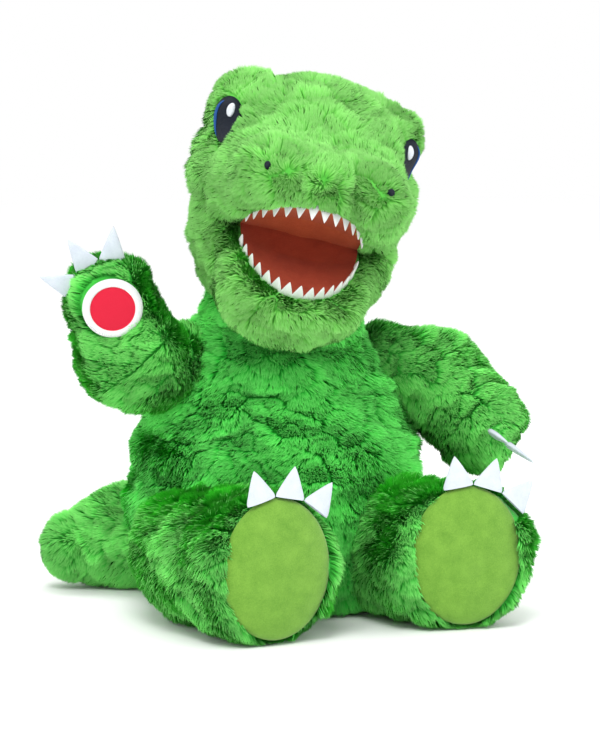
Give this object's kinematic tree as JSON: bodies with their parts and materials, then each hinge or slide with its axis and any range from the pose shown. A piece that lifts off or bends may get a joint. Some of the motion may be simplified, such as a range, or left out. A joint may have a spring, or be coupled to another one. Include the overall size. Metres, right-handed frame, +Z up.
{
  "type": "stuffed dinosaur",
  "caption": "Seated stuffed dinosaur with green fur, open felt-toothed mouth, raised paw, lime soles and felt claws; head, jaw, limbs and tail bend at their seams.",
  "frame": {"origin": "middle of the flat underside of the seat, on the surface that the toy sits on", "axes": "+Z up, the toy faces -Y, its own left side is +X"},
  "size_m": [0.3566, 0.3128, 0.3922],
  "materials": {
    "green_fur": "long curly pile, mid green with lighter tips",
    "sole_cloth": "short brushed pile, lime green",
    "tooth_felt": "off-white felt",
    "claw_felt": "pale blue-grey felt",
    "palate_cloth": "short pile, orange brown",
    "tongue_cloth": "short pile, dark red brown",
    "eye_thread": "satin embroidery, near black",
    "iris_thread": "satin embroidery, blue",
    "glint_thread": "satin embroidery, white",
    "badge_border": "white stitched border",
    "badge_red": "red embroidered disc",
    "filling": "loose white polyester fibre"
  },
  "bodies": {
    "torso": {"torso_skin": "green_fur", "torso_stuffing": "filling"},
    "neck": {"neck_skin": "green_fur", "neck_stuffing": "filling"},
    "jaw": {"jaw_skin": "green_fur", "jaw_stuffing": "filling", "tongue_lining": "tongue_cloth", "lower_teeth": "tooth_felt"},
    "arm_left": {"arm_left_skin": "green_fur", "arm_left_stuffing": "filling", "arm_left_claws": "claw_felt"},
    "arm_right": {"arm_right_skin": "green_fur", "arm_right_stuffing": "filling", "arm_right_claws": "claw_felt", "palm_badge": "badge_border", "palm_badge_motif": "badge_red"},
    "leg_left": {"leg_left_skin": "green_fur", "leg_left_stuffing": "filling", "foot_left_claws": "claw_felt", "sole_left": "sole_cloth"},
    "leg_right": {"leg_right_skin": "green_fur", "leg_right_stuffing": "filling", "foot_right_claws": "claw_felt", "sole_right": "sole_cloth"},
    "tail": {"tail_skin": "green_fur", "tail_stuffing": "filling"},
    "head": {"eye_bump_left_skin": "green_fur", "eye_bump_left_stuffing": "filling", "eye_bump_right_skin": "green_fur", "eye_bump_right_stuffing": "filling", "eye_left": "eye_thread", "eye_left_glint": "glint_thread", "eye_left_iris": "iris_thread", "eye_right": "eye_thread", "eye_right_glint": "glint_thread", "eye_right_iris": "iris_thread", "head_skin": "green_fur", "head_stuffing": "filling", "nostril_left": "eye_thread", "nostril_right": "eye_thread", "palate_lining": "palate_cloth", "upper_teeth": "tooth_felt"}
  },
  "joints": [
    {"name": "neck_turn", "type": "hinge", "parent": "torso", "child": "neck", "pos_m": [0.004, -0.004, 0.212], "axis": [0, 0, 1], "range_deg": [-18, 18], "stiffness_Nm_per_rad": 2.5},
    {"name": "head_nod", "type": "hinge", "parent": "neck", "child": "head", "pos_m": [0.004, -0.004, 0.212], "axis": [0.9435, -0.2352, -0.2334], "range_deg": [-14, 6], "stiffness_Nm_per_rad": 4},
    {"name": "jaw_open", "type": "hinge", "parent": "head", "child": "jaw", "pos_m": [-0.00403, -0.05625, 0.27633], "axis": [0.9435, -0.2352, -0.2334], "range_deg": [-25, 8], "stiffness_Nm_per_rad": 0.5},
    {"name": "arm_left_lower", "type": "hinge", "parent": "torso", "child": "arm_left", "pos_m": [0.08, -0.002, 0.177], "axis": [0, 1, 0], "range_deg": [-30, 4], "stiffness_Nm_per_rad": 0.8},
    {"name": "arm_right_wave", "type": "hinge", "parent": "torso", "child": "arm_right", "pos_m": [-0.075, 0, 0.177], "axis": [0, 1, 0], "range_deg": [-14, 14], "stiffness_Nm_per_rad": 0.8},
    {"name": "leg_left_lift", "type": "hinge", "parent": "torso", "child": "leg_left", "pos_m": [0.066, -0.052, 0.05], "axis": [-1, 0, 0], "range_deg": [0, 30], "stiffness_Nm_per_rad": 1.5},
    {"name": "leg_right_lift", "type": "hinge", "parent": "torso", "child": "leg_right", "pos_m": [-0.077, -0.05, 0.05], "axis": [-1, 0, 0], "range_deg": [0, 30], "stiffness_Nm_per_rad": 1.5},
    {"name": "tail_wag", "type": "hinge", "parent": "torso", "child": "tail", "pos_m": [-0.014, 0.062, 0.045], "axis": [0, 0, 1], "range_deg": [-12, 12], "stiffness_Nm_per_rad": 1.2}
  ]
}
